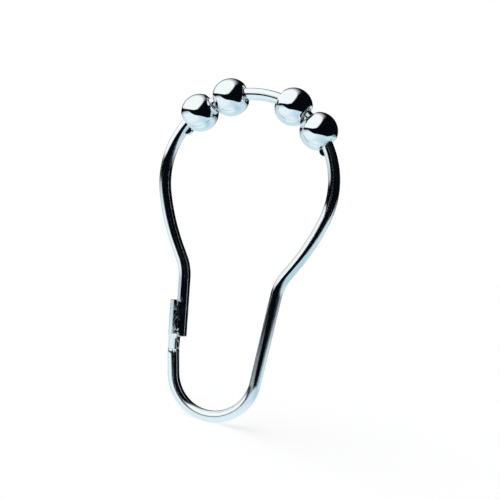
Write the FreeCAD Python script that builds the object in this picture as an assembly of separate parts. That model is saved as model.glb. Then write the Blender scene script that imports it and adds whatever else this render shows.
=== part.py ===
import FreeCAD, Part
import math
import os

# Curtain hook: a pear-shaped ring of spring wire with four roller balls on its crown.
# The ring lies in the XZ plane and Z is up. The origin is the centre of the crown arc, where
# the rod passes, and the rod runs along Y. The clasp is on the -X side. Sizes are millimetres.

# Wire
WIRE_D = 2.7                # round spring wire
CROWN_R = 19.6              # centreline of the round crown
SHOULDER_R = 50.0           # slacker bend that takes the crown over into each slanted leg
SHOULDER_SWELL = 0.95       # a slanted leg's line passes this far outside the crown's circle
NECK_BELOW_CROWN = 1.85     # from the crown circle's lowest point down to the necks
NECK_FLARE = 1.35           # each neck stands this much further out than the bottom bend
NECK_BEND_R = 11.0          # bend at each neck, where a slanted leg meets a lower leg
LOWER_LENGTH = 22.05        # from the necks down to the bottom bend's centre
BOTTOM_BEND_R = 9.7         # centreline of the bottom bend

# Clasp: the wire's plain end, the tail, rests in a trough pressed into its other end
CLASP_LEAN = 6.3            # degrees by which the tail leans inward on its way down
TAIL_RISE = 6.5             # the tail's sheared end stands this far up the lower leg's length
TAIL_HELD = 8.15            # length of the tail that lies in the keeper
KEEPER_WALL_LENGTH = 6.35   # the side walls stop before the tail does
KEEPER_WIDTH = 4.1          # over the side walls
KEEPER_FLOOR = 1.37         # metal behind the groove
KEEPER_LIP = 0.3            # the side walls stop this short of the tail's centreline
KEEPER_CORNER_R = 1.7       # outer corners of the walled trough
KEEPER_EDGE_R = 0.2         # inner edges, along the lips
KEEPER_END_R = 0.5          # upper end of the side walls, seen from the side
NOTCH_R = 0.6               # round notch that parts the side walls from the heel below them
WAIST_LENGTH = 0.8          # below the notch the trough narrows to the heel over this length
HEEL_WIDTH = 3.0            # over the heel's lips
HEEL_LIP = 0.55             # the heel stops this short of the tail's centreline
HEEL_CORNER_R = 1.0
HEEL_TAPER = 20             # degrees by which each side of the heel leans in towards its back
GROOVE_CLEARANCE = 0.08     # between tail and groove
TAIL_END_GAP = 0.5          # tail's end to the start of the groove's run-out
RUNOUT_LENGTH = 2.4         # the groove rises out of the heel over this length
HEEL_STEP_LENGTH = 0.3      # the heel's pressed outline changes to the round wire in this length
LEG_BEND_DROP = 1.0         # from there down to the slight bend between clasp and lower leg
LEG_BEND_R = 8.0

# Stop ears, coined inward from the wire below the outer balls
EAR_R = 1.1                 # half-moon outline
EAR_HEIGHT = 0.8            # above the wire's inner side
EAR_THICKNESS = 1.4
EAR_EDGE_R = 0.3
EAR_GAP = 0.12              # to the rim of the outer ball that rests on it

# Roller balls
BALL_D = 8.5
BALL_BORE_D = 3.4
BALL_RIM_R = 0.55           # rolled-over mouth of the bore
BALL_GAP = 0.2              # between the two balls of a pair
PAIR_ANGLE = 34.1           # degrees from the crown's top to the middle of a pair

# Working values: how far a cutting shape passes the metal, and the degrees of the round wire's
# outline that blend into each flat of the trough
OVERCUT = 1.0
FLAT_SHARE = 30

V = FreeCAD.Vector
Y_AXIS = V(0, 1, 0)
Z_AXIS = V(0, 0, 1)

WIRE_R = WIRE_D / 2
BALL_R = BALL_D / 2
BORE_R = BALL_BORE_D / 2
GROOVE_R = WIRE_R + GROOVE_CLEARANCE
KEEPER_BACK = GROOVE_R + KEEPER_FLOOR
LOWER_WIRE_OFFSET = KEEPER_BACK - WIRE_R

# A ball's rim is a torus: its circle's distance from the bore's axis and from the ball's middle
RIM_RADIAL = BORE_R + BALL_RIM_R
RIM_AXIAL = math.sqrt((BALL_R - BALL_RIM_R) ** 2 - RIM_RADIAL ** 2)
BALL_HALF_LENGTH = RIM_AXIAL + BALL_RIM_R

# The wire curves inside a straight bore, and half of that curve lies on either side of its axis
WIRE_SAG = CROWN_R - math.sqrt(CROWN_R ** 2 - BALL_HALF_LENGTH ** 2)
BALL_CIRCLE_R = CROWN_R - WIRE_SAG / 2

# The ears' middles lie on this circle, just inside the wire's inner side
EAR_CIRCLE_R = CROWN_R - WIRE_R - EAR_HEIGHT + EAR_R

# Stations along the clasp, measured down the tail from the left neck
TAIL_LENGTH = LOWER_LENGTH - TAIL_RISE
KEEPER_START = TAIL_LENGTH - TAIL_HELD
WALL_END = KEEPER_START + KEEPER_WALL_LENGTH
NOTCH_END = WALL_END + 2 * NOTCH_R
GROOVE_END = TAIL_LENGTH + TAIL_END_GAP
HEEL_END = GROOVE_END + RUNOUT_LENGTH
KEEPER_END = HEEL_END + HEEL_STEP_LENGTH

NECK_HALF_WIDTH = BOTTOM_BEND_R + NECK_FLARE
NECK_DROP = CROWN_R + NECK_BELOW_CROWN
LEFT_NECK = V(-NECK_HALF_WIDTH, 0, -NECK_DROP)
RIGHT_NECK = V(NECK_HALF_WIDTH, 0, -NECK_DROP)
CROWN_CENTRE = V(0, 0, 0)
BOTTOM_CENTRE = V(0, 0, -NECK_DROP - LOWER_LENGTH)

# The clasp has its own frame: Z up the tail, X towards the ring's inside, origin at the left neck
CLASP_TURN = FreeCAD.Rotation(Y_AXIS, -CLASP_LEAN)
CLASP_FRAME = FreeCAD.Placement(LEFT_NECK, CLASP_TURN)


def clasp_point(along, inward):
    """Point this far down the tail from the left neck, and this far inward of its centreline."""
    return CLASP_FRAME.multVec(V(inward, 0, -along))


def on_crown(radius, angle):
    """Point at this radius from the crown's centre, at this angle from its top towards +X."""
    return V(radius * math.sin(angle), 0, radius * math.cos(angle))


def tangent_point(centre, radius, outside, side):
    """Where a straight from the outside point touches the circle, on one side of it."""
    reach = outside - centre
    heading = math.atan2(reach.z, reach.x) + side * math.acos(radius / reach.Length)
    return centre + V(radius * math.cos(heading), 0, radius * math.sin(heading))


def bend(before, corner, after, radius):
    """Arc that rounds a corner between two straights."""
    back = (before - corner).normalize()
    ahead = (after - corner).normalize()
    half = back.getAngle(ahead) / 2
    setback = radius / math.tan(half)
    to_middle = radius / math.sin(half) - radius
    middle = corner + (back + ahead).normalize() * to_middle
    return Part.Arc(corner + back * setback, middle, corner + ahead * setback).toShape()


def shoulder(neck, side):
    """The slacker arc between crown and slanted leg: its start on the crown, middle and end.

    The leg's line touches a circle a little larger than the crown's. The shoulder's circle
    touches that line and, from inside, the crown's circle.
    """
    line_distance = CROWN_R + SHOULDER_SWELL
    centre_distance = SHOULDER_R - CROWN_R
    foot = tangent_point(CROWN_CENTRE, line_distance, neck, side)
    leg_angle = math.atan2(foot.x, foot.z)
    turn = side * math.acos((SHOULDER_R - line_distance) / centre_distance)
    centre = on_crown(-centre_distance, leg_angle - turn)
    points = []
    for share in (1, 0.5, 0):
        points.append(centre + on_crown(SHOULDER_R, leg_angle - turn * share))
    return points


def first_point(edge):
    return edge.valueAt(edge.FirstParameter)


def last_point(edge):
    return edge.valueAt(edge.LastParameter)


def with_straights(arcs):
    """These arcs as edges in order, with a straight from each to the next."""
    edges = [arcs[0]]
    for arc in arcs[1:]:
        edges.append(Part.makeLine(last_point(edges[-1]), first_point(arc)))
        edges.append(arc)
    return edges


def wire_path():
    """Centreline of the wire, from the tail's end over the crown and down to the keeper."""
    tail_end = clasp_point(TAIL_LENGTH, 0)
    keeper_end = clasp_point(KEEPER_END, -LOWER_WIRE_OFFSET)
    leg_corner = clasp_point(KEEPER_END + LEG_BEND_DROP, -LOWER_WIRE_OFFSET)
    crown_left, left_middle, leg_left = shoulder(LEFT_NECK, -1)
    crown_right, right_middle, leg_right = shoulder(RIGHT_NECK, 1)
    bottom_left = tangent_point(BOTTOM_CENTRE, BOTTOM_BEND_R, leg_corner, 1)
    bottom_right = tangent_point(BOTTOM_CENTRE, BOTTOM_BEND_R, RIGHT_NECK, -1)
    crown_top = on_crown(CROWN_R, 0)
    bottom_low = BOTTOM_CENTRE - V(0, 0, BOTTOM_BEND_R)
    left_side = with_straights([
        bend(tail_end, LEFT_NECK, leg_left, NECK_BEND_R),
        Part.Arc(leg_left, left_middle, crown_left).toShape(),
    ])
    crown = Part.Arc(crown_left, crown_top, crown_right).toShape()
    right_side = with_straights([
        Part.Arc(crown_right, right_middle, leg_right).toShape(),
        bend(leg_right, RIGHT_NECK, bottom_right, NECK_BEND_R),
        Part.Arc(bottom_right, bottom_low, bottom_left).toShape(),
        bend(bottom_left, leg_corner, keeper_end, LEG_BEND_R),
    ])
    tail = Part.makeLine(tail_end, first_point(left_side[0]))
    leg_end = Part.makeLine(last_point(right_side[-1]), keeper_end)
    return Part.Wire([tail] + left_side + [crown] + right_side + [leg_end])


def round_wire():
    """The bent wire, one sweep of its round section."""
    tail_end = clasp_point(TAIL_LENGTH, 0)
    section = Part.Wire(Part.makeCircle(WIRE_R, tail_end, LEFT_NECK - tail_end))
    return wire_path().makePipeShell([section], True, False)


def section_arc(x, y, radius, start, turn, along):
    """Arc of a section across the keeper, clockwise from its start angle, in degrees."""
    points = []
    for angle in (start, start - turn / 2, start - turn):
        heading = math.radians(angle)
        points.append(V(x + radius * math.cos(heading), y + radius * math.sin(heading), -along))
    return Part.Arc(points[0], points[1], points[2]).toShape()


def pressed_section(along, width, lip, corner_r, taper):
    """An outline before the groove is pressed: four corner arcs joined by flats.

    The sides lean in towards the back by the taper, in degrees, and the width is over the lips.
    """
    lean = math.radians(taper)
    lip_x = -lip - KEEPER_EDGE_R
    lip_y = width / 2 - KEEPER_EDGE_R
    back_x = corner_r - KEEPER_BACK
    inset = corner_r - KEEPER_EDGE_R + (lip_x - back_x) * math.sin(lean)
    back_y = lip_y - inset / math.cos(lean)
    arcs = [
        section_arc(back_x, back_y, corner_r, 180, 90 - taper, along),
        section_arc(lip_x, lip_y, KEEPER_EDGE_R, 90 + taper, 90 + taper, along),
        section_arc(lip_x, -lip_y, KEEPER_EDGE_R, 0, 90 + taper, along),
        section_arc(back_x, -back_y, corner_r, taper - 90, 90 - taper, along),
    ]
    edges = with_straights(arcs)
    edges.append(Part.makeLine(last_point(edges[-1]), first_point(edges[0])))
    return Part.Wire(edges)


def walled_section(along):
    return pressed_section(along, KEEPER_WIDTH, KEEPER_LIP, KEEPER_CORNER_R, 0)


def heel_section(along):
    return pressed_section(along, HEEL_WIDTH, HEEL_LIP, HEEL_CORNER_R, HEEL_TAPER)


def wire_section(along):
    """The round wire's outline in eight arcs, one for each corner and flat of the heel."""
    arcs = []
    start = 180 - FLAT_SHARE / 2
    for _ in range(4):
        for turn in (90 - FLAT_SHARE, FLAT_SHARE):
            arcs.append(section_arc(-LOWER_WIRE_OFFSET, 0, WIRE_R, start, turn, along))
            start -= turn
    return Part.Wire(arcs)


def keeper_side_view():
    """The trough seen from the side, with its lips rounded off at the upper end."""
    outside = -2 * KEEPER_BACK
    upper = -KEEPER_START
    lower = -KEEPER_END - OVERCUT
    inside = WIRE_R
    lip_top = V(-KEEPER_LIP, 0, upper)
    lip_foot = V(-KEEPER_LIP, 0, -GROOVE_END)
    corners = [lip_foot, V(inside, 0, -GROOVE_END), V(inside, 0, lower), V(outside, 0, lower),
               V(outside, 0, upper)]
    rounding = bend(corners[-1], lip_top, lip_foot, KEEPER_END_R)
    edges = [rounding]
    for corner in corners:
        edges.append(Part.makeLine(last_point(edges[-1]), corner))
    edges.append(Part.makeLine(corners[-1], first_point(rounding)))
    side = Part.Face(Part.Wire(edges))
    side.translate(Y_AXIS * -KEEPER_WIDTH)
    return side.extrude(Y_AXIS * (2 * KEEPER_WIDTH))


def groove_tool():
    """What the tail's groove takes out: round and straight, then sloping up out of the metal."""
    top = V(0, 0, OVERCUT - KEEPER_START)
    foot = V(0, 0, -GROOVE_END)
    straight = Part.makeCylinder(GROOVE_R, top.z - foot.z, foot)
    turn = Part.makeSphere(GROOVE_R, foot)
    slope = V(GROOVE_R + WIRE_R - LOWER_WIRE_OFFSET, 0, -RUNOUT_LENGTH)
    runout = Part.makeCylinder(GROOVE_R, 2 * slope.Length, foot, slope)
    return straight.fuse([turn, runout])


def keeper():
    """Trough pressed into the wire's lower end, blending into the round wire below it."""
    waist_end = NOTCH_END + WAIST_LENGTH
    walled = Part.Face(walled_section(KEEPER_START - OVERCUT))
    walled = walled.extrude(V(0, 0, KEEPER_START - OVERCUT - NOTCH_END))
    waist = Part.makeLoft([walled_section(NOTCH_END), heel_section(waist_end)], True, True)
    heel = Part.Face(heel_section(waist_end)).extrude(V(0, 0, waist_end - HEEL_END))
    step = Part.makeLoft([heel_section(HEEL_END), wire_section(KEEPER_END)], True, True)
    blank = walled.fuse([waist, heel, step]).common(keeper_side_view())
    notch_centre = V(-KEEPER_LIP, -KEEPER_WIDTH, -WALL_END - NOTCH_R)
    notch = Part.makeCylinder(NOTCH_R, 2 * KEEPER_WIDTH, notch_centre, Y_AXIS)
    trough = blank.cut([groove_tool(), notch])
    trough.Placement = CLASP_FRAME
    return trough


def stop_ear(angle):
    """Half-moon lug on the wire's inner side."""
    centre = on_crown(EAR_CIRCLE_R, angle)
    ear = Part.makeCylinder(EAR_R, EAR_THICKNESS, centre - Y_AXIS * (EAR_THICKNESS / 2), Y_AXIS)
    rims = [edge for edge in ear.Edges if isinstance(edge.Curve, Part.Circle)]
    return ear.makeFillet(EAR_EDGE_R, rims)


def pair_half_angle():
    """Half the angle between the balls of a pair, whose rims come closest on the inner side.

    A ball reaches towards its neighbour by axial * cos + radial * sin + rim, and that reach
    and half the gap make up its distance from the pair's middle, circle * sin.
    """
    radial = BALL_CIRCLE_R - RIM_RADIAL
    lean = math.atan2(RIM_AXIAL, radial)
    return lean + math.asin((BALL_RIM_R + BALL_GAP / 2) / math.hypot(radial, RIM_AXIAL))


def ball_angles():
    """Places of the balls on the crown, from the clasp side over the top."""
    half = pair_half_angle()
    pair = math.radians(PAIR_ANGLE)
    return [-pair - half, -pair + half, pair - half, pair + half]


def ear_angle():
    """Place of an ear just below the outer ball, whose rim comes closest on the inner side.

    The crown's centre, the rim's middle and the ear's middle make a triangle.
    """
    to_rim = math.hypot(BALL_CIRCLE_R - RIM_RADIAL, RIM_AXIAL)
    rim_to_ear = BALL_RIM_R + EAR_GAP + EAR_R
    opening = (to_rim ** 2 + EAR_CIRCLE_R ** 2 - rim_to_ear ** 2) / (2 * to_rim * EAR_CIRCLE_R)
    lean = math.atan2(RIM_AXIAL, BALL_CIRCLE_R - RIM_RADIAL)
    return max(ball_angles()) + lean + math.acos(opening)


def wire_ring():
    """The whole wire, with what is formed on it."""
    formed = [keeper(), stop_ear(-ear_angle()), stop_ear(ear_angle())]
    return round_wire().fuse(formed)


def mirrored(point):
    """The same point at the other end of a ball."""
    return V(point.x, 0, -point.z)


def roller_ball(angle):
    """Bored ball with rolled rims, turned about its bore and placed on the crown."""
    rim = V(RIM_RADIAL, 0, RIM_AXIAL)
    rim_leaves_ball = rim * (BALL_R / (BALL_R - BALL_RIM_R))
    leaving = math.atan2(RIM_AXIAL, RIM_RADIAL)
    middle = (leaving + math.pi) / 2
    rim_middle = rim + V(math.cos(middle), 0, math.sin(middle)) * BALL_RIM_R
    rim_meets_bore = V(BORE_R, 0, RIM_AXIAL)
    equator = V(BALL_R, 0, 0)
    outline = [
        Part.Arc(mirrored(rim_leaves_ball), equator, rim_leaves_ball),
        Part.Arc(rim_leaves_ball, rim_middle, rim_meets_bore),
        Part.LineSegment(rim_meets_bore, mirrored(rim_meets_bore)),
        Part.Arc(mirrored(rim_meets_bore), mirrored(rim_middle), mirrored(rim_leaves_ball)),
    ]
    face = Part.Face(Part.Wire([piece.toShape() for piece in outline]))
    ball = face.revolve(V(0, 0, 0), Z_AXIS, 360)
    along_wire = V(math.cos(angle), 0, -math.sin(angle))
    turn = FreeCAD.Rotation(Z_AXIS, along_wire)
    ball.Placement = FreeCAD.Placement(on_crown(BALL_CIRCLE_R, angle), turn)
    return ball


def main():
    os.makedirs("parts", exist_ok=True)
    pieces = {"wire_ring": wire_ring()}
    for number, angle in enumerate(ball_angles(), start=1):
        pieces["roller_ball_%d" % number] = roller_ball(angle)
    for name, piece in pieces.items():
        piece.exportStep("parts/%s.step" % name)
        print(name, "solids", len(piece.Solids), "valid", piece.isValid(), "volume %.3f" % piece.Volume)


main()
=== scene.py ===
import math

import bmesh
import bpy
from mathutils import Matrix, Vector
from mathutils.kdtree import KDTree


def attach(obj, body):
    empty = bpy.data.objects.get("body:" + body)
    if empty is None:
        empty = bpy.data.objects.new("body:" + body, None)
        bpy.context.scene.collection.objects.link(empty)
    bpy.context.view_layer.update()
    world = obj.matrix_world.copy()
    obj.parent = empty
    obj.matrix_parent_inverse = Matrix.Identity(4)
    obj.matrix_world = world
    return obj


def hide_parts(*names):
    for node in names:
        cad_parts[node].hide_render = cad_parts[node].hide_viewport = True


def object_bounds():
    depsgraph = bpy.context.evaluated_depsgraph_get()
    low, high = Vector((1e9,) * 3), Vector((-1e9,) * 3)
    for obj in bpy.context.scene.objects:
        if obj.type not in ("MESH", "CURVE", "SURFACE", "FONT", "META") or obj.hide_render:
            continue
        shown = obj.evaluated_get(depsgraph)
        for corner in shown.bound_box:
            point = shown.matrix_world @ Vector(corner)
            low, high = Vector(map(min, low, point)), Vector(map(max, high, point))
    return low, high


# Curtain hook in chromed spring wire, with four roller balls on its crown and a pressed keeper
# that holds the wire's plain end. Lengths are metres, in the part's own frame: the ring lies in
# the XZ plane, Z is up, the rod runs along Y, and the clasp is on the -X side.

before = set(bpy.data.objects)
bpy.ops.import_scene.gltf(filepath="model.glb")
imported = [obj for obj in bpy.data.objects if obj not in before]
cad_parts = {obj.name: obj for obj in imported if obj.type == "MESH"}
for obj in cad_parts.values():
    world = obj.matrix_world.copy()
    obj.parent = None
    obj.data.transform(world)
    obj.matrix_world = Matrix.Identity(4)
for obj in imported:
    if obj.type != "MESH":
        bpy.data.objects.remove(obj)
cad_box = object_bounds()

MM = 0.001
Y_AXIS = Vector((0, 1, 0))
Z_AXIS = Vector((0, 0, 1))

# Wire
WIRE_R = 1.35 * MM
CROWN_R = 19.6 * MM
SHOULDER_R = 50.0 * MM
SHOULDER_SWELL = 0.95 * MM
NECK_BELOW_CROWN = 1.85 * MM
NECK_FLARE = 1.35 * MM
NECK_BEND_R = 11.0 * MM
LOWER_LENGTH = 22.05 * MM
BOTTOM_BEND_R = 9.7 * MM
BEND_STEP = math.radians(2.5)       # one facet of a bend
END_EDGE_R = 0.12 * MM              # the tail's sheared edge
END_EDGE_STEPS = 3

# Clasp, measured down the tail from the left neck
CLASP_LEAN = math.radians(6.3)
TAIL_RISE = 6.5 * MM                # how far the tail ends above the bottom bend's centre
TAIL_HELD = 8.15 * MM               # how much of the tail lies in the keeper
TAIL_LENGTH = LOWER_LENGTH - TAIL_RISE
KEEPER_START = TAIL_LENGTH - TAIL_HELD
KEEPER_WALL_LENGTH = 6.35 * MM
KEEPER_WIDTH = 4.1 * MM
KEEPER_FLOOR = 1.37 * MM
KEEPER_LIP = 0.3 * MM
KEEPER_CORNER_R = 1.7 * MM
KEEPER_EDGE_R = 0.2 * MM
KEEPER_END_R = 0.5 * MM
NOTCH_R = 0.6 * MM
WAIST_LENGTH = 0.8 * MM
HEEL_WIDTH = 3.0 * MM               # over its lips
HEEL_LIP = 0.55 * MM
HEEL_CORNER_R = 1.0 * MM
HEEL_TAPER = 20.0                   # degrees by which each side leans in towards the back
GROOVE_CLEARANCE = 0.08 * MM
GROOVE_R = WIRE_R + GROOVE_CLEARANCE
TAIL_END_GAP = 0.5 * MM
GROOVE_END = TAIL_LENGTH + TAIL_END_GAP
RUNOUT_LENGTH = 2.4 * MM
HEEL_STEP_LENGTH = 0.3 * MM
LEG_BEND_DROP = 1.0 * MM
LEG_BEND_R = 8.0 * MM

# Stop ears
EAR_R = 1.1 * MM
EAR_HEIGHT = 0.8 * MM
EAR_THICKNESS = 1.4 * MM
EAR_EDGE_R = 0.15 * MM
EAR_GAP = 0.12 * MM
EAR_STEPS = 64                      # round its rim
EAR_EDGE_STEPS = 6

# Balls
BALL_R = 4.25 * MM
BORE_R = 1.7 * MM
RIM_R = 0.55 * MM
BALL_GAP = 0.2 * MM
PAIR_ANGLE = math.radians(34.1)     # from the crown's top to the middle of a pair
BALL_SIDE_STEPS = 40                # from the equator to a rim
BALL_RIM_STEPS = 16
BALL_ROUND_STEPS = 144

# What follows from those sizes, as in the solids
KEEPER_BACK = GROOVE_R + KEEPER_FLOOR
LEG_OFFSET = KEEPER_BACK - WIRE_R
NOTCH_END = KEEPER_START + KEEPER_WALL_LENGTH + 2 * NOTCH_R
HEEL_END = GROOVE_END + RUNOUT_LENGTH
KEEPER_END = HEEL_END + HEEL_STEP_LENGTH
RUNOUT_ANGLE = math.atan2(GROOVE_R + WIRE_R - LEG_OFFSET, RUNOUT_LENGTH)
RIM_RADIAL = BORE_R + RIM_R
RIM_AXIAL = math.sqrt((BALL_R - RIM_R) ** 2 - RIM_RADIAL ** 2)
BALL_HALF_LENGTH = RIM_AXIAL + RIM_R
BALL_CIRCLE_R = (CROWN_R + math.sqrt(CROWN_R ** 2 - BALL_HALF_LENGTH ** 2)) / 2
EAR_CIRCLE_R = CROWN_R - WIRE_R - EAR_HEIGHT + EAR_R
NECK_HALF_WIDTH = BOTTOM_BEND_R + NECK_FLARE
NECK_DROP = CROWN_R + NECK_BELOW_CROWN
LEFT_NECK = Vector((-NECK_HALF_WIDTH, 0, -NECK_DROP))
RIGHT_NECK = Vector((NECK_HALF_WIDTH, 0, -NECK_DROP))
CROWN_CENTRE = Vector((0, 0, 0))
BOTTOM_CENTRE = Vector((0, 0, -NECK_DROP - LOWER_LENGTH))
CLASP_FRAME = Matrix.Translation(LEFT_NECK) @ Matrix.Rotation(-CLASP_LEAN, 4, "Y")


# Shader graphs

class Signal:
    """One output of a shader node. Arithmetic on it adds Math nodes."""

    def __init__(self, graph, socket):
        self.graph = graph
        self.socket = socket

    def __add__(self, other):
        return self.graph.math("ADD", self, other)

    def __sub__(self, other):
        return self.graph.math("SUBTRACT", self, other)

    def __mul__(self, other):
        return self.graph.math("MULTIPLY", self, other)

    def __truediv__(self, other):
        return self.graph.math("DIVIDE", self, other)

    def __rsub__(self, other):
        return self.graph.math("SUBTRACT", other, self)

    def __rtruediv__(self, other):
        return self.graph.math("DIVIDE", other, self)

    __radd__ = __add__
    __rmul__ = __mul__


class Graph:
    """The node tree of a material or a world."""

    def __init__(self, owner):
        owner.use_nodes = True
        self.tree = owner.node_tree
        self.tree.nodes.clear()

    def node(self, kind, settings=None, inputs=None, output=0):
        """A node with its settings made first, then its sockets' values or links."""
        made = self.tree.nodes.new(kind)
        for name, value in (settings or {}).items():
            setattr(made, name, value)
        for name, value in (inputs or {}).items():
            if isinstance(value, Signal):
                self.tree.links.new(value.socket, made.inputs[name])
            else:
                made.inputs[name].default_value = value
        return Signal(self, made.outputs[output]) if len(made.outputs) else None

    def math(self, operation, first, second):
        return self.node("ShaderNodeMath", {"operation": operation}, {0: first, 1: second})

    def least(self, first, second):
        return self.math("MINIMUM", first, second)

    def most(self, first, second):
        return self.math("MAXIMUM", first, second)

    def smooth_step(self, value, low, high):
        """0 below low, 1 above high, with an eased ramp between."""
        ends = {"Value": value, "From Min": low, "From Max": high}
        return self.node("ShaderNodeMapRange", {"interpolation_type": "SMOOTHSTEP"}, ends)

    def along(self, vector, direction):
        """How far a vector points along a direction."""
        both = {0: vector, 1: direction}
        return self.node("ShaderNodeVectorMath", {"operation": "DOT_PRODUCT"}, both, "Value")

    def unit(self, vector):
        return self.node("ShaderNodeVectorMath", {"operation": "NORMALIZE"}, {0: vector})

    def mix(self, share, first, second):
        """Colour between two colours."""
        inputs = {"Factor": share, 6: first, 7: second}
        return self.node("ShaderNodeMix", {"data_type": "RGBA"}, inputs, 2)

    def noise(self, vector, scale, detail):
        inputs = {"Vector": vector, "Scale": scale, "Detail": detail}
        return self.node("ShaderNodeTexNoise", {}, inputs, "Fac")


# Chrome plate
CHROME_COLOUR = (0.84, 0.87, 0.89)
HAZE_TINT = 0.96                    # share of the colour that is left where it is hazy
HAZE_SCALE = 160.0                  # in noise cells to a metre, as the next scales are
SWIRL_SCALE = 900.0                 # left by the polishing wheel
POLISH = 0.025                      # roughness at the brightest places
POLISH_SWING = 0.035                # and how far haze and swirls raise it
RELIEF_STRENGTH = 0.04
RELIEF_DEPTH = 0.02 * MM

# Traces of the die on the drawn wire
DRAWN = "drawn"                     # place across the wire's section, and a little along it
DRAWN_LENGTHWAYS = 0.02             # so that what varies with it makes streaks along the wire
STREAK_SCALE = 1700.0
STREAK_RAMP = (0.42, 0.72)          # the noise that starts a streak, and makes a full one
STREAK_DULLNESS = 0.26              # roughness that a full streak adds
STREAK_RELIEF = 0.2                 # beside the haze's 1


def chrome(name, draw_marks):
    """Bright chrome plate over polished steel, with traces of the die on drawn wire."""
    material = bpy.data.materials.new(name)
    graph = Graph(material)
    place = graph.node("ShaderNodeTexCoord", output="Object")
    swirl = graph.noise(place, SWIRL_SCALE, 3.0)
    haze = graph.noise(place, HAZE_SCALE, 2.0)
    polish = POLISH + POLISH_SWING * swirl * haze
    height = haze
    if draw_marks:
        across = graph.node("ShaderNodeAttribute", {"attribute_name": DRAWN}, output="Vector")
        streaks = graph.smooth_step(graph.noise(across, STREAK_SCALE, 3.0), *STREAK_RAMP)
        polish = polish + STREAK_DULLNESS * streaks
        height = haze + STREAK_RELIEF * streaks
    relief = graph.node("ShaderNodeBump", {}, {
        "Strength": RELIEF_STRENGTH, "Distance": RELIEF_DEPTH, "Height": height})
    tint = graph.mix(haze, (*CHROME_COLOUR, 1), (*(HAZE_TINT * part for part in CHROME_COLOUR), 1))
    finish = graph.node("ShaderNodeBsdfPrincipled", {}, {
        "Base Color": tint, "Metallic": 1.0, "Roughness": polish, "Normal": relief})
    graph.node("ShaderNodeOutputMaterial", {}, {"Surface": finish})
    return material


# Mesh tools

SHARP_ANGLE = math.radians(35)      # between faces, where the shading breaks
MERGE_REACH = 0.001 * MM            # points closer than this are one


def edges_among(geometry):
    return [piece for piece in geometry if isinstance(piece, bmesh.types.BMEdge)]


def verts_among(geometry):
    return [piece for piece in geometry if isinstance(piece, bmesh.types.BMVert)]


def ring_verts(ring):
    return list({vert for edge in ring for vert in edge.verts})


def run_straight(mesh, ring, shift):
    """Draws the wire straight on from its last ring of edges."""
    grown = bmesh.ops.extrude_edge_only(mesh, edges=ring)["geom"]
    verts = verts_among(grown)
    bmesh.ops.translate(mesh, verts=verts, vec=shift)
    fresh = set(verts)
    return [edge for edge in edges_among(grown) if set(edge.verts) <= fresh]


def run_bend(mesh, ring, centre, angle):
    """Bends the wire on round a centre, by an angle about Y."""
    steps = max(1, round(abs(angle) / BEND_STEP))
    turned = bmesh.ops.spin(mesh, geom=ring + ring_verts(ring), cent=centre, axis=Y_AXIS,
                            angle=angle, steps=steps, use_duplicate=False)
    return edges_among(turned["geom_last"])


def finished(mesh, name, material):
    """An object from a mesh, shaded smooth but for its sharp edges."""
    data = bpy.data.meshes.new(name)
    mesh.to_mesh(data)
    mesh.free()
    data.shade_smooth()
    data.set_sharp_from_angle(angle=SHARP_ANGLE)
    data.materials.append(material)
    piece = bpy.data.objects.new(name, data)
    bpy.context.scene.collection.objects.link(piece)
    return piece


# Wire and keeper

def on_crown(radius, angle):
    """Point at this radius from the crown's centre, at this angle from its top towards +X."""
    return Vector((radius * math.sin(angle), 0, radius * math.cos(angle)))


def tangent_point(centre, radius, outside, side):
    """Where a straight from the outside point touches the circle, on one side of it."""
    reach = outside - centre
    heading = math.atan2(reach.z, reach.x) + side * math.acos(radius / reach.length)
    return centre + Vector((radius * math.cos(heading), 0, radius * math.sin(heading)))


def shoulder(neck, side):
    """The slacker bend between crown and slanted leg: its end on the crown, centre and foot."""
    line_distance = CROWN_R + SHOULDER_SWELL
    centre_distance = SHOULDER_R - CROWN_R
    foot = tangent_point(CROWN_CENTRE, line_distance, neck, side)
    leg_angle = math.atan2(foot.x, foot.z)
    turn = side * math.acos((SHOULDER_R - line_distance) / centre_distance)
    centre = on_crown(-centre_distance, leg_angle - turn)
    return on_crown(CROWN_R, leg_angle - turn), centre, centre + on_crown(SHOULDER_R, leg_angle)


def corner_bend(before, corner, after, radius):
    """Start, centre and angle of the bend that rounds a corner between two straights."""
    back = (before - corner).normalized()
    ahead = (after - corner).normalized()
    half = back.angle(ahead) / 2
    start = corner + back * (radius / math.tan(half))
    centre = corner + (back + ahead).normalized() * (radius / math.sin(half))
    side = math.copysign(1, ahead.cross(back).y)
    return start, centre, side * (math.pi - 2 * half)


def round_bend(start, centre, end):
    """Start, centre and angle of a bend that runs from right to left over the top."""
    first, last = start - centre, end - centre
    return start, centre, -((math.atan2(last.z, last.x) - math.atan2(first.z, first.x)) % math.tau)


def arc(centre, radius, first, last, count):
    """Points on an arc across the keeper, after its first point, in degrees."""
    points = []
    for step in range(1, count + 1):
        heading = math.radians(first + (last - first) * step / count)
        points.append(Vector((centre[0] + radius * math.cos(heading),
                              centre[1] + radius * math.sin(heading))))
    return points


def line(first, last, count):
    return [Vector(first).lerp(Vector(last), step / count) for step in range(1, count + 1)]


KEEPER_MERGE_REACH = 0.0001 * MM    # finer than elsewhere, as its groove closes to a line

# Divisions of half the keeper's outline, from the groove's middle round to the back's middle
GROOVE_DIVISIONS = 14
LIP_DIVISIONS = 3
EDGE_DIVISIONS = 4
SIDE_DIVISIONS = 6
CORNER_DIVISIONS = 11
BACK_DIVISIONS = 8

# Stations along the keeper
ARC_STEP = 10                       # degrees, down its rounded end and the notch
WAIST_STEPS = 5
RUNOUT_STEPS = 24


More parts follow.
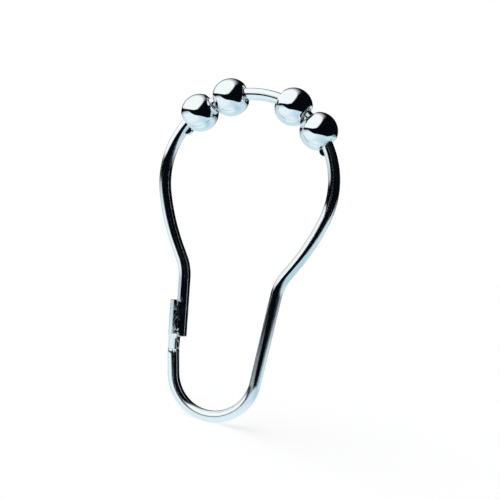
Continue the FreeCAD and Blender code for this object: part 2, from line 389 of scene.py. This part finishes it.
def half_outline(width, lip, corner_r, taper, groove_x, groove_depth):
    """Half of the pressed section: groove, lip, side wall, corner and back.

    The side leans in towards the back by the taper, and the width is over the lips.
    """
    lean = math.radians(taper)
    edge_centre = Vector((lip - KEEPER_EDGE_R, width / 2 - KEEPER_EDGE_R))
    back_x = corner_r - KEEPER_BACK
    inset = corner_r - KEEPER_EDGE_R + (edge_centre.x - back_x) * math.sin(lean)
    corner_centre = Vector((back_x, edge_centre.y - inset / math.cos(lean)))
    opening = (lip - groove_x) / groove_depth
    points = []
    for step in range(GROOVE_DIVISIONS + 1):
        if opening > -1:
            turn = math.pi + (math.acos(opening) - math.pi) * step / GROOVE_DIVISIONS
            points.append(Vector((groove_x + groove_depth * math.cos(turn), GROOVE_R * math.sin(turn))))
        else:
            points.append(Vector((lip, MERGE_REACH * step / GROOVE_DIVISIONS)))
    past_edge = max(0, points[-1].y - edge_centre.y)
    edge_start = math.degrees(math.asin(past_edge / KEEPER_EDGE_R))
    edge_top = arc(edge_centre, KEEPER_EDGE_R, edge_start, edge_start, 1)[0]
    points += line(points[-1], edge_top, LIP_DIVISIONS)
    points += arc(edge_centre, KEEPER_EDGE_R, edge_start, 90 + taper, EDGE_DIVISIONS)
    corner_top = arc(corner_centre, corner_r, 90 + taper, 90 + taper, 1)[0]
    points += line(points[-1], corner_top, SIDE_DIVISIONS)
    points += arc(corner_centre, corner_r, 90 + taper, 180, CORNER_DIVISIONS)
    points += line(points[-1], (-KEEPER_BACK, 0), BACK_DIVISIONS)
    return points


def rounded_off(points, share):
    """The outline moved by a share of the way out or in to the round wire's."""
    centre = Vector((-LEG_OFFSET, 0))
    moved = []
    for point in points:
        spoke = point - centre
        moved.append(point.lerp(centre + spoke.normalized() * WIRE_R, share))
    return moved


def runout(past):
    """Middle and depth of the groove this far past its end, where it slopes out of the metal."""
    middle = past * math.tan(RUNOUT_ANGLE)
    if past < GROOVE_R * math.sin(RUNOUT_ANGLE):
        return middle, middle + math.sqrt(GROOVE_R ** 2 - past ** 2)
    return middle, GROOVE_R / math.cos(RUNOUT_ANGLE)


def keeper_stations():
    """Stations down the keeper: how far along, and half of the outline there."""
    stations = []

    def add(along, lip, narrowed=0.0, to_round=0.0):
        width = KEEPER_WIDTH + (HEEL_WIDTH - KEEPER_WIDTH) * narrowed
        corner_r = KEEPER_CORNER_R + (HEEL_CORNER_R - KEEPER_CORNER_R) * narrowed
        groove = runout(along - GROOVE_END) if along > GROOVE_END else (0, GROOVE_R)
        outline = half_outline(width, lip, corner_r, HEEL_TAPER * narrowed, *groove)
        stations.append((along, rounded_off(outline, to_round)))

    for degrees in range(0, 91, ARC_STEP):
        turn = math.radians(degrees)
        add(KEEPER_START + KEEPER_END_R * (1 - math.cos(turn)),
            -KEEPER_LIP - KEEPER_END_R * (1 - math.sin(turn)))
    for degrees in range(0, 181, ARC_STEP):
        turn = math.radians(degrees)
        add(NOTCH_END - NOTCH_R * (1 + math.cos(turn)), -KEEPER_LIP - NOTCH_R * math.sin(turn))
    for step in range(1, WAIST_STEPS + 1):
        narrowed = step / WAIST_STEPS
        add(NOTCH_END + WAIST_LENGTH * narrowed,
            -KEEPER_LIP + (KEEPER_LIP - HEEL_LIP) * narrowed, narrowed)
    for step in range(RUNOUT_STEPS + 1):
        add(GROOVE_END + RUNOUT_LENGTH * step / RUNOUT_STEPS, -HEEL_LIP, 1)
    for share in (0.5, 1.0):
        add(HEEL_END + HEEL_STEP_LENGTH * share, -HEEL_LIP, 1, share)
    return stations


def pressed_keeper(mesh):
    """The keeper from its open upper end down to the round wire, whose ring it returns."""
    stations = keeper_stations()
    outlines = []
    for along, half in stations:
        other = [Vector((point.x, -point.y)) for point in reversed(half[1:-1])]
        outlines.append([CLASP_FRAME @ Vector((point.x, point.y, -along)) for point in half + other])
    around = len(outlines[0])
    grid = bmesh.ops.create_grid(mesh, x_segments=around, y_segments=len(stations) - 1, size=1)
    columns = around + 1
    for index, vert in enumerate(grid["verts"]):
        vert.co = outlines[index // columns][index % columns % around]
    bmesh.ops.remove_doubles(mesh, verts=mesh.verts, dist=KEEPER_MERGE_REACH)
    ends = []
    for outline in (outlines[0], outlines[-1]):
        near = {vert for vert in mesh.verts
                if min((vert.co - point).length for point in outline) < 2 * KEEPER_MERGE_REACH}
        ends.append([edge for edge in mesh.edges if edge.is_boundary and set(edge.verts) <= near])
    bmesh.ops.contextual_create(mesh, geom=ends[0])
    return ends[1]


def wire_bends():
    """Start, centre and angle of each bend, from the keeper over the crown to the tail."""
    tail_end = CLASP_FRAME @ Vector((0, 0, -TAIL_LENGTH))
    keeper_end = CLASP_FRAME @ Vector((-LEG_OFFSET, 0, -KEEPER_END))
    leg_corner = CLASP_FRAME @ Vector((-LEG_OFFSET, 0, -KEEPER_END - LEG_BEND_DROP))
    bottom_left = tangent_point(BOTTOM_CENTRE, BOTTOM_BEND_R, leg_corner, 1)
    bottom_right = tangent_point(BOTTOM_CENTRE, BOTTOM_BEND_R, RIGHT_NECK, -1)
    crown_right, right_centre, leg_right = shoulder(RIGHT_NECK, 1)
    crown_left, left_centre, leg_left = shoulder(LEFT_NECK, -1)
    return [
        corner_bend(keeper_end, leg_corner, bottom_left, LEG_BEND_R),
        round_bend(bottom_left, BOTTOM_CENTRE, bottom_right),
        corner_bend(bottom_right, RIGHT_NECK, leg_right, NECK_BEND_R),
        round_bend(leg_right, right_centre, crown_right),
        round_bend(crown_right, CROWN_CENTRE, crown_left),
        round_bend(crown_left, left_centre, leg_left),
        corner_bend(leg_left, LEFT_NECK, tail_end, NECK_BEND_R),
    ]


def wire_spine():
    """Points down the wire's centreline, ring by ring: place, direction and length so far."""
    place = CLASP_FRAME @ Vector((-LEG_OFFSET, 0, 0))
    spine = [(place, (CLASP_FRAME @ Vector((-LEG_OFFSET, 0, -KEEPER_END)) - place).normalized(), 0)]
    for start, centre, angle in wire_bends():
        length = spine[-1][2] + (start - spine[-1][0]).length
        steps = max(1, round(abs(angle) / BEND_STEP))
        for step in range(steps + 1):
            turn = Matrix.Rotation(angle * step / steps, 3, "Y")
            spoke = turn @ (start - centre)
            ahead = Y_AXIS.cross(spoke).normalized() * math.copysign(1, angle)
            spine.append((centre + spoke, ahead, length + spoke.length * abs(angle) * step / steps))
    return spine


def note_drawing(mesh):
    """Writes each point's place across the wire, and a little of its length along it."""
    spine = wire_spine()
    near = KDTree(len(spine))
    for index, (place, _, _) in enumerate(spine):
        near.insert(place, index)
    near.balance()
    layer = mesh.verts.layers.float_vector.new(DRAWN)
    for vert in mesh.verts:
        place, ahead, length = spine[near.find(vert.co)[1]]
        offset = vert.co - place
        along = length + offset.dot(ahead)
        vert[layer] = (offset.dot(ahead.cross(Y_AXIS)), offset.y, DRAWN_LENGTHWAYS * along)


def sprung_wire(material):
    """Keeper, lower leg, bottom bend, right side, crown, left side and tail, in one run."""
    mesh = bmesh.new()
    ring = pressed_keeper(mesh)
    place = CLASP_FRAME @ Vector((-LEG_OFFSET, 0, -KEEPER_END))
    for start, centre, angle in wire_bends():
        if (start - place).length > WIRE_R / 100:
            ring = run_straight(mesh, ring, start - place)
        ring = run_bend(mesh, ring, centre, angle)
        place = centre + Matrix.Rotation(angle, 3, "Y") @ (start - centre)
    # A ring close to the sheared end keeps the long straight's shading level
    near_end = CLASP_FRAME @ Vector((0, 0, 2 * END_EDGE_R - TAIL_LENGTH))
    tail_end = CLASP_FRAME @ Vector((0, 0, -TAIL_LENGTH))
    ring = run_straight(mesh, ring, near_end - place)
    ring = run_straight(mesh, ring, tail_end - near_end)
    bmesh.ops.contextual_create(mesh, geom=ring)
    bmesh.ops.bevel(mesh, geom=ring, offset=END_EDGE_R, offset_type="OFFSET", affect="EDGES",
                    segments=END_EDGE_STEPS, profile=0.5, material=-1)
    bmesh.ops.recalc_face_normals(mesh, faces=mesh.faces)
    note_drawing(mesh)
    return finished(mesh, "sprung_wire", material)


# Ears and balls

def pair_half_angle():
    """Half the angle between the balls of a pair, whose rims come closest on the inner side."""
    radial = BALL_CIRCLE_R - RIM_RADIAL
    lean = math.atan2(RIM_AXIAL, radial)
    return lean + math.asin((RIM_R + BALL_GAP / 2) / math.hypot(radial, RIM_AXIAL))


BALL_ANGLES = [side * (PAIR_ANGLE + outward * pair_half_angle())
               for side, outward in ((-1, 1), (-1, -1), (1, -1), (1, 1))]


def ear_angle():
    """Place of an ear just below the outer ball, whose rim comes closest on the inner side."""
    to_rim = math.hypot(BALL_CIRCLE_R - RIM_RADIAL, RIM_AXIAL)
    rim_to_ear = RIM_R + EAR_GAP + EAR_R
    opening = (to_rim ** 2 + EAR_CIRCLE_R ** 2 - rim_to_ear ** 2) / (2 * to_rim * EAR_CIRCLE_R)
    lean = math.atan2(RIM_AXIAL, BALL_CIRCLE_R - RIM_RADIAL)
    return BALL_ANGLES[3] + lean + math.acos(opening)


def stop_ear(name, angle, material):
    """Half-moon lug coined out of the wire's inner side."""
    mesh = bmesh.new()
    disc = bmesh.ops.create_circle(mesh, cap_ends=True, segments=EAR_STEPS, radius=EAR_R)
    bmesh.ops.translate(mesh, verts=disc["verts"], vec=Z_AXIS * (-EAR_THICKNESS / 2))
    grown = bmesh.ops.extrude_face_region(mesh, geom=mesh.faces[:])["geom"]
    bmesh.ops.translate(mesh, verts=verts_among(grown), vec=Z_AXIS * EAR_THICKNESS)
    rims = [edge for edge in mesh.edges
            if abs(edge.verts[0].co.z - edge.verts[1].co.z) < EAR_THICKNESS / 2]
    bmesh.ops.bevel(mesh, geom=rims, offset=EAR_EDGE_R, offset_type="OFFSET", affect="EDGES",
                    segments=EAR_EDGE_STEPS, profile=0.5, material=-1)
    bmesh.ops.recalc_face_normals(mesh, faces=mesh.faces)
    centre = on_crown(EAR_CIRCLE_R, angle)
    placed = Matrix.Translation(centre) @ Matrix.Rotation(math.pi / 2, 4, "X")
    bmesh.ops.transform(mesh, matrix=placed, verts=mesh.verts)
    return finished(mesh, name, material)


def roller_ball(name, angle, material):
    """Bored ball with rolled rims, turned about its bore."""
    mesh = bmesh.new()
    leaving = math.atan2(RIM_AXIAL, RIM_RADIAL)
    equator = mesh.verts.new((BALL_R, 0, 0))
    side = bmesh.ops.spin(mesh, geom=[equator], cent=(0, 0, 0), axis=-Y_AXIS,
                          angle=leaving, steps=BALL_SIDE_STEPS)
    rim = bmesh.ops.spin(mesh, geom=verts_among(side["geom_last"]), cent=(RIM_RADIAL, 0, RIM_AXIAL),
                         axis=-Y_AXIS, angle=math.pi - leaving, steps=BALL_RIM_STEPS)
    bore = bmesh.ops.extrude_vert_indiv(mesh, verts=verts_among(rim["geom_last"]))
    bmesh.ops.translate(mesh, verts=bore["verts"], vec=Z_AXIS * -RIM_AXIAL)
    bmesh.ops.spin(mesh, geom=mesh.verts[:] + mesh.edges[:], cent=(0, 0, 0), axis=Z_AXIS,
                   angle=math.tau, steps=BALL_ROUND_STEPS, use_merge=True)
    bmesh.ops.remove_doubles(mesh, verts=mesh.verts, dist=MERGE_REACH)
    bmesh.ops.mirror(mesh, geom=mesh.verts[:] + mesh.edges[:] + mesh.faces[:], axis="Z",
                     merge_dist=MERGE_REACH)
    bmesh.ops.recalc_face_normals(mesh, faces=mesh.faces)
    centre = on_crown(BALL_CIRCLE_R, angle)
    placed = Matrix.Translation(centre) @ Matrix.Rotation(angle + math.pi / 2, 4, "Y")
    bmesh.ops.transform(mesh, matrix=placed, verts=mesh.verts)
    return finished(mesh, name, material)


# Studio

def heading(azimuth, elevation=0.0):
    """Direction at an azimuth and elevation."""
    turn, rise = math.radians(azimuth), math.radians(elevation)
    return Vector((math.sin(turn) * math.cos(rise), math.cos(turn) * math.cos(rise), math.sin(rise)))


VIEW_AZIMUTH = 16.0                 # the camera stands this far towards +X from the -Y side
VIEW_ELEVATION = 1.5
VIEW_ROLL = 9.97                    # the hook's top leans right in the picture
VIEW_DISTANCE = 300 * MM
VIEW_TARGET = Vector((3.17, 0, -14.92)) * MM
VIEW_LENS = 96.98                   # millimetres, as the next is
VIEW_SENSOR = 36
VIEW_CLIP = 10 * MM


def camera():
    back = heading(180 - VIEW_AZIMUTH, VIEW_ELEVATION)
    right = heading(90 - VIEW_AZIMUTH)
    roll = math.radians(VIEW_ROLL)
    up = back.cross(right)
    across = right * math.cos(roll) + up * math.sin(roll)
    upward = up * math.cos(roll) - right * math.sin(roll)
    place = VIEW_TARGET + back * VIEW_DISTANCE
    data = bpy.data.cameras.new("camera")
    data.lens = VIEW_LENS
    data.sensor_width = VIEW_SENSOR
    data.clip_start = VIEW_CLIP
    eye = bpy.data.objects.new("camera", data)
    eye.matrix_world = Matrix.Translation(place) @ Matrix((across, upward, back)).transposed().to_4x4()
    bpy.context.scene.collection.objects.link(eye)
    bpy.context.scene.camera = eye


# The room as the metal shows it. Azimuths are in degrees from +Y towards +X. A ramp gives two
# cosines of a reflected ray's angle from an azimuth, or from straight up or down, and runs from
# none at the first to all at the second.
UNLIT = (0.002, 0.003, 0.005, 1)

# A broad soft lamp on the left
LAMP_WHITE = (1.07, 1.11, 1.10, 1)
LAMP_MIDDLE = (-113.0, 35.0)        # azimuth and elevation
LAMP_REACH = 0.47                   # cosine of the angle from its middle to its edge
LAMP_SOFTNESS = 0.07                # of its edge, also as a cosine
LAMP_BACK_SOFTNESS = 0.2            # and how much softer it is at the back
LAMP_BACK_RAMP = (-0.3, 0.5)        # from +Y

# The dark gap between lamp and table, in cosines from straight up
GAP_AZIMUTH = 129.0                 # it opens towards this side
GAP_SLOPE = 0.38
GAP_LEAST = 0.10                    # and is this high on the other sides
GAP_SOFTNESS = (-0.015, 0.03)

# The table's edge by direction, in cosines from straight down
TABLE_EDGE_AZIMUTH = 150.0          # its near edge, low in the metal
TABLE_EDGE_SLOPE = 0.55
TABLE_EDGE_LEAST = 0.02
TABLE_EDGE_MOST = 0.383
TABLE_HORIZON_SOFTNESS = (0.02, -0.02)

# The table's colours, with lamp light and shade painted into them: white where the lamp would light it,
# deeper and darker where it would lie in shade
TABLE_WHITE = (0.94, 1.05, 1.08, 1) # where the lamp lights it
TABLE_PALE = (0.70, 0.87, 0.95, 1)  # elsewhere
# Painted shade: deeper close by, on the side away from the lamp
TABLE_SHADED = (0.52, 0.75, 0.85, 1)  # close by, on the side away from the lamp
TABLE_LIT_AZIMUTH = -138.0
TABLE_LIT_RAMP = (0.3, 0.75)
# Painted lamp light, whiter straight under the hook
TABLE_UNDER_LAMP_LIGHT = 0.8             # how white it is straight under the hook
TABLE_UNDER_RAMP = (0.75, 0.97)     # from straight down
TABLE_SHADED_AZIMUTH = 75.0
TABLE_SHADED_RAMP = (0.1, 0.8)
TABLE_CLOSE_RAMP = (0.4, 0.65)      # from straight down
# Painted shade: darker at the far end, and more so on the side away from the lamp
TABLE_FAR_SHADE = 0.4                # how dark its far end is
TABLE_FAR_MORE_SHADE = 0.3              # and how much darker on the side away from the lamp
TABLE_FAR_RAMP = (-0.3, -0.05)      # from straight up
TABLE_DIM_AZIMUTH = -105.0          # on this side the end is unlit
TABLE_DIM_RAMP = (0.25, 0.75)
TABLE_DIM_END_RAMP = (-0.14, -0.03) # from straight up

# The table itself
TABLE_TOP = -72 * MM                # it lies close under the hook
TABLE_NEAR = 168 * MM               # and ends this far in front of it
TABLE_EDGE_SOFT = 75 * MM
TABLE_FADE = (190 * MM, 330 * MM)   # further off, its colour goes by direction alone
TABLE_HALF_SPAN = 3.0


def table_colour_and_light(graph, ray):
    """The table's colour where a ray from the hook meets it, with the lamp's light and shade painted
    in.
    """
    up = graph.along(ray, Z_AXIS)
    down = graph.along(ray, -Z_AXIS)
    lit_side = graph.smooth_step(graph.along(ray, heading(TABLE_LIT_AZIMUTH)), *TABLE_LIT_RAMP)
    shaded_side = graph.smooth_step(graph.along(ray, heading(TABLE_SHADED_AZIMUTH)), *TABLE_SHADED_RAMP)
    dim_side = graph.smooth_step(graph.along(ray, heading(TABLE_DIM_AZIMUTH)), *TABLE_DIM_RAMP)
    under = graph.smooth_step(down, *TABLE_UNDER_RAMP)
    close = graph.smooth_step(down, *TABLE_CLOSE_RAMP)
    far_end = graph.smooth_step(up, *TABLE_FAR_RAMP)
    dim_end = dim_side * graph.smooth_step(up, *TABLE_DIM_END_RAMP)
    # Painted lamp light: the lit side and the place under the hook
    white = graph.most(lit_side, TABLE_UNDER_LAMP_LIGHT * under)
    # Painted shade: the far end and the unlit side
    dark = graph.most((TABLE_FAR_SHADE + TABLE_FAR_MORE_SHADE * shaded_side) * far_end, dim_end)
    elsewhere = graph.mix(shaded_side * close, TABLE_PALE, TABLE_SHADED)
    return graph.mix(dark, graph.mix(white, elsewhere, TABLE_WHITE), UNLIT)


def room():
    """White to the camera. The metal shows a lamp, a table and an unlit room."""
    world = bpy.data.worlds.new("room")
    bpy.context.scene.world = world
    graph = Graph(world)
    ray = graph.node("ShaderNodeTexCoord", output="Generated")
    up = graph.along(ray, Z_AXIS)

    edge_slope = TABLE_EDGE_SLOPE * graph.along(ray, heading(TABLE_EDGE_AZIMUTH))
    edge = graph.least(TABLE_EDGE_MOST, graph.most(TABLE_EDGE_LEAST, edge_slope))
    on_table = graph.smooth_step(edge + up, *TABLE_HORIZON_SOFTNESS)

    to_back = graph.smooth_step(graph.along(ray, Y_AXIS), *LAMP_BACK_RAMP)
    softness = LAMP_SOFTNESS + LAMP_BACK_SOFTNESS * to_back
    inside = graph.along(ray, heading(*LAMP_MIDDLE)) - LAMP_REACH
    lamp = graph.smooth_step(inside / softness, -1, 1)
    gap = graph.most(GAP_LEAST, GAP_SLOPE * graph.along(ray, heading(GAP_AZIMUTH)))
    over_gap = graph.smooth_step(up - gap, *GAP_SOFTNESS)
    walls = graph.mix(lamp * over_gap, UNLIT, LAMP_WHITE)

    seen = graph.mix(on_table, walls, table_colour_and_light(graph, ray))
    to_camera = graph.node("ShaderNodeLightPath", output="Is Camera Ray")
    colour = graph.mix(to_camera, seen, (1, 1, 1, 1))
    light = graph.node("ShaderNodeBackground", {}, {"Color": colour, "Strength": 1.0})
    graph.node("ShaderNodeOutputWorld", {}, {"Surface": light})


def table():
    """The table that only the metal shows: a sheet that glows with painted lamp light and shade, though
    it is no lamp. What stands low over it shows more of it.
    """
    mesh = bmesh.new()
    bmesh.ops.create_grid(mesh, x_segments=1, y_segments=1, size=TABLE_HALF_SPAN)
    middle = heading(TABLE_EDGE_AZIMUTH) * (TABLE_NEAR - TABLE_HALF_SPAN) + Z_AXIS * TABLE_TOP
    turn = Matrix.Rotation(-math.radians(TABLE_EDGE_AZIMUTH), 4, "Z")
    bmesh.ops.transform(mesh, matrix=Matrix.Translation(middle) @ turn, verts=mesh.verts)
    material = bpy.data.materials.new("glowing_table_in_metal")
    graph = Graph(material)
    place = graph.node("ShaderNodeTexCoord", output="Object")
    to_edge = TABLE_NEAR - graph.along(place, heading(TABLE_EDGE_AZIMUTH))
    to_metal = graph.node("ShaderNodeLightPath", output="Is Glossy Ray")
    distance = graph.node("ShaderNodeVectorMath", {"operation": "LENGTH"}, {0: place}, "Value")
    shown = to_metal * graph.smooth_step(to_edge, 0, TABLE_EDGE_SOFT)
    shown = shown * (1 - graph.smooth_step(distance, *TABLE_FADE))
    # The sheet glows, only to the metal, with the table's painted lamp light and shade
    glow = graph.node("ShaderNodeEmission", {}, {"Color": table_colour_and_light(graph, graph.unit(place))})
    clear = graph.node("ShaderNodeBsdfTransparent")
    surface = graph.node("ShaderNodeMixShader", {}, {0: shown, 1: clear, 2: glow})
    graph.node("ShaderNodeOutputMaterial", {}, {"Surface": surface})
    finished(mesh, "glowing_table_in_metal", material)


FLOOR_HALF_SPAN = 1.4
FLOOR_PALE = (0.85, 0.86, 0.87, 1)
FLOOR_GLOW = (0.565, 0.545, 0.545, 1)   # with the room's light on it, this makes white


def floor():
    """Pale floor under the hook. The metal shows the room's table instead."""
    mesh = bmesh.new()
    bmesh.ops.create_grid(mesh, x_segments=1, y_segments=1, size=FLOOR_HALF_SPAN)
    bmesh.ops.translate(mesh, verts=mesh.verts, vec=Z_AXIS * cad_box[0].z)
    material = bpy.data.materials.new("pale_floor")
    graph = Graph(material)
    to_camera = graph.node("ShaderNodeLightPath", output="Is Camera Ray")
    to_metal = graph.node("ShaderNodeLightPath", output="Is Glossy Ray")
    glow = graph.node("ShaderNodeEmission", {}, {"Color": FLOOR_GLOW, "Strength": to_camera})
    matt = graph.node("ShaderNodeBsdfDiffuse", {}, {"Color": FLOOR_PALE})
    both = graph.node("ShaderNodeAddShader", {}, {0: glow, 1: matt})
    clear = graph.node("ShaderNodeBsdfTransparent")
    surface = graph.node("ShaderNodeMixShader", {}, {0: to_metal, 1: both, 2: clear})
    graph.node("ShaderNodeOutputMaterial", {}, {"Surface": surface})
    finished(mesh, "floor", material)


# The hook and its surroundings

wire_chrome = chrome("wire_chrome_plate", draw_marks=True)
ball_chrome = chrome("ball_chrome_plate", draw_marks=False)

wire = sprung_wire(wire_chrome)
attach(wire, "ring")
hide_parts("wire_ring")
for side, sign in (("left", -1), ("right", 1)):
    ear = stop_ear("stop_ear_" + side, sign * ear_angle(), wire_chrome)
    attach(ear, "ring")
for number, angle in enumerate(BALL_ANGLES, start=1):
    ball = roller_ball("ball_%d" % number, angle, ball_chrome)
    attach(ball, "ball_%d" % number)
    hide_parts("roller_ball_%d" % number)

camera()
room()
table()
floor()
bpy.context.scene.view_settings.view_transform = "Standard"
